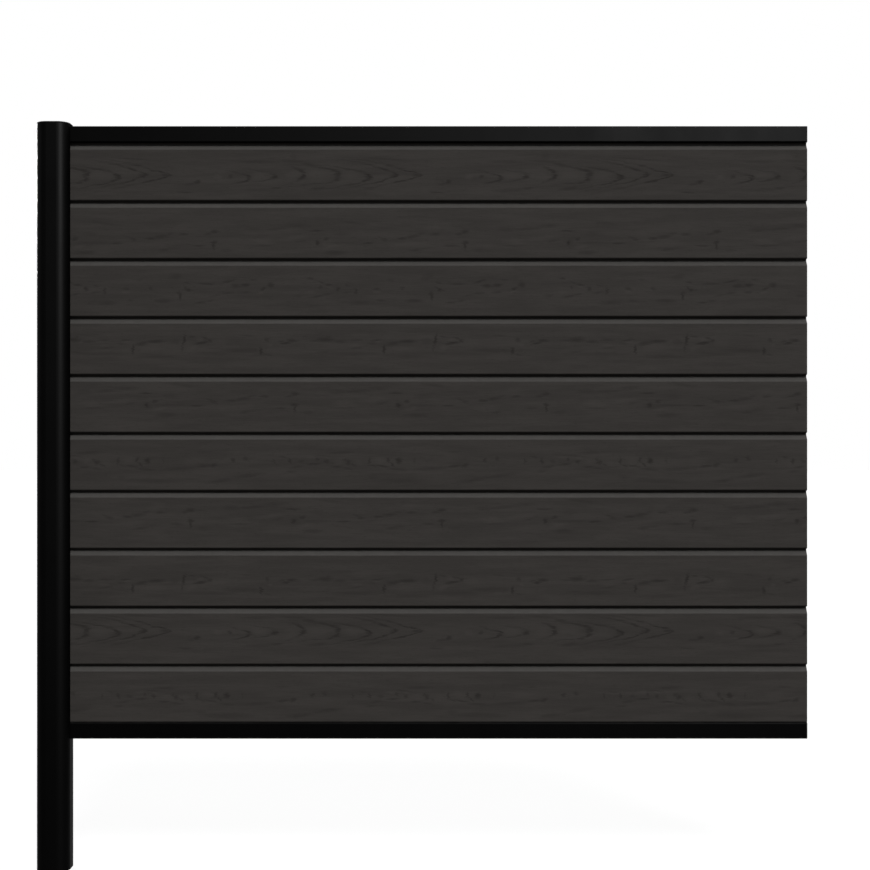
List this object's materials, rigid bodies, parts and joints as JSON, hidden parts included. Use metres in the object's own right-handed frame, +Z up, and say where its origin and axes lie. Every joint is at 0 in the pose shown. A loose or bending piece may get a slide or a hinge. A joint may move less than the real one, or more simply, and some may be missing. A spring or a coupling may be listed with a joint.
{
  "type": "fence panel",
  "caption": "Fence bay: slotted black post for setting in the ground, carrying stacked horizontal tongue-and-groove composite boards between a bottom rail and a top rail.",
  "frame": {"origin": "centre of the post's bottom end, on the level that the post's foot stands on", "axes": "+X along the panel away from the post, +Y to the back (the pictured front looks along -Y), +Z up"},
  "size_m": [1.859, 0.08, 1.8],
  "materials": {
    "charcoal_composite": "charcoal wood-plastic composite, embossed wood grain, matt",
    "black_coated_aluminium": "satin black powder coat on extruded aluminium",
    "black_cap_plastic": "fine-textured moulded black plastic",
    "galvanised_steel": "zinc-plated sheet steel",
    "black_screw_steel": "black-coated steel screw",
    "gasket_rubber": "matt black rubber"
  },
  "bodies": {
    "root": {"post": "black_coated_aluminium", "post_cap": "black_cap_plastic", "slot_filler": "black_coated_aluminium", "bottom_rail": "black_coated_aluminium", "top_rail": "black_coated_aluminium", "bottom_rail_bracket": "galvanised_steel", "top_rail_bracket": "galvanised_steel", "bottom_bracket_screws": "galvanised_steel", "top_bracket_screws": "galvanised_steel", "bottom_rail_screws": "black_screw_steel", "top_rail_screws": "black_screw_steel", "front_gasket": "gasket_rubber", "back_gasket": "gasket_rubber", "board_01": "charcoal_composite", "board_02": "charcoal_composite", "board_03": "charcoal_composite", "board_04": "charcoal_composite", "board_05": "charcoal_composite", "board_06": "charcoal_composite", "board_07": "charcoal_composite", "board_08": "charcoal_composite", "board_09": "charcoal_composite", "board_10": "charcoal_composite"}
  },
  "joints": []
}
